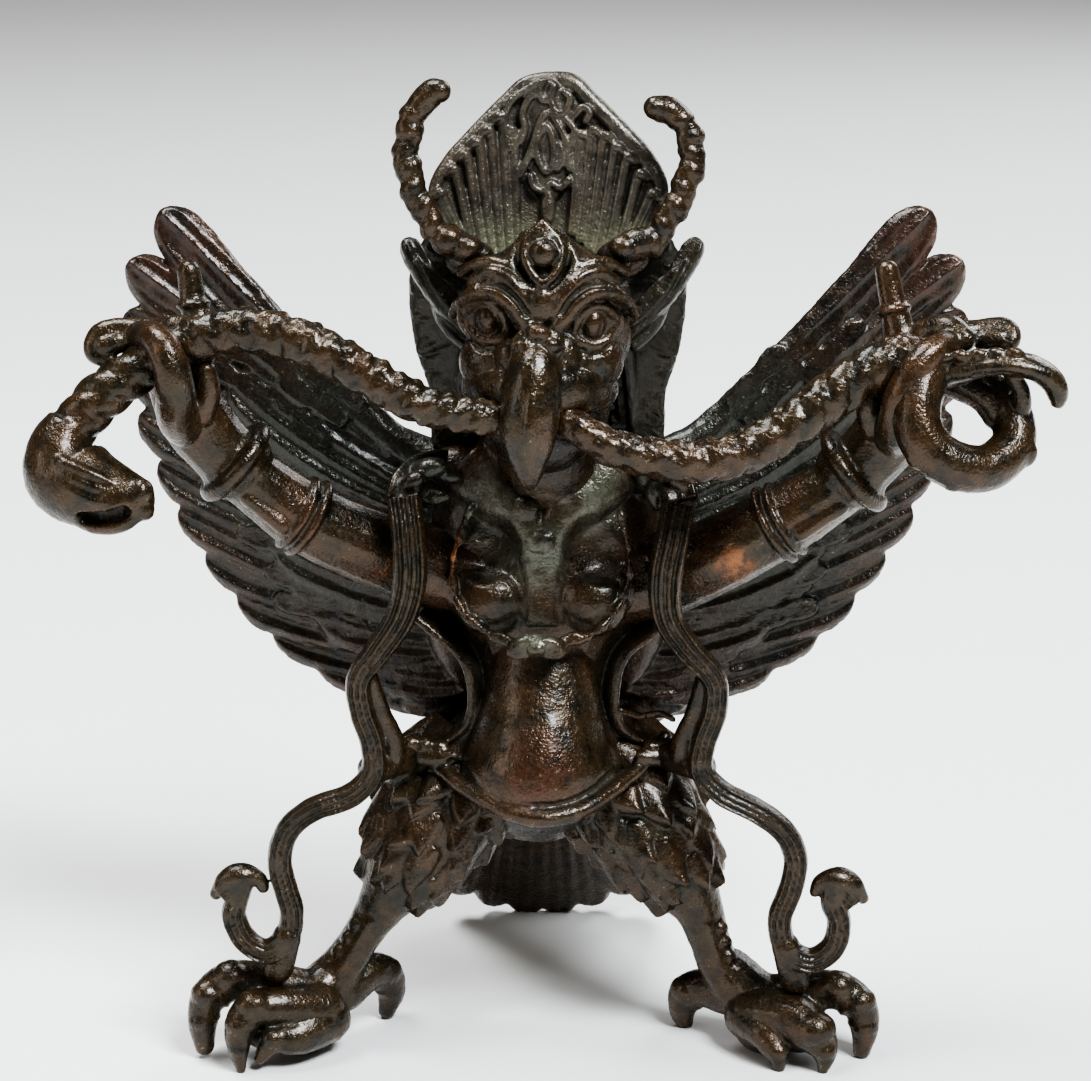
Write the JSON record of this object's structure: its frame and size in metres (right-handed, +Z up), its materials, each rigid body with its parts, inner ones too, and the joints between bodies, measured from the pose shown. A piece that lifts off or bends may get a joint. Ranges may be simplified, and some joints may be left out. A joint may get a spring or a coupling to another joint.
{
  "type": "garuda figure",
  "caption": "Small cast bronze garuda with fanned wings, beak and both fists holding a snake, standing on clawed feet and tail.",
  "frame": {"origin": "middle of the figure's bounding box on the plane its feet and tail stand on", "axes": "+X to the viewer's right along the wings, +Y to the back, +Z up; the figure faces -Y"},
  "size_m": [0.0889, 0.0455, 0.088],
  "materials": {
    "dark_bronze": "dark brown wax-polished patina"
  },
  "bodies": {
    "root": {"garuda_figure": "dark_bronze"}
  },
  "joints": []
}
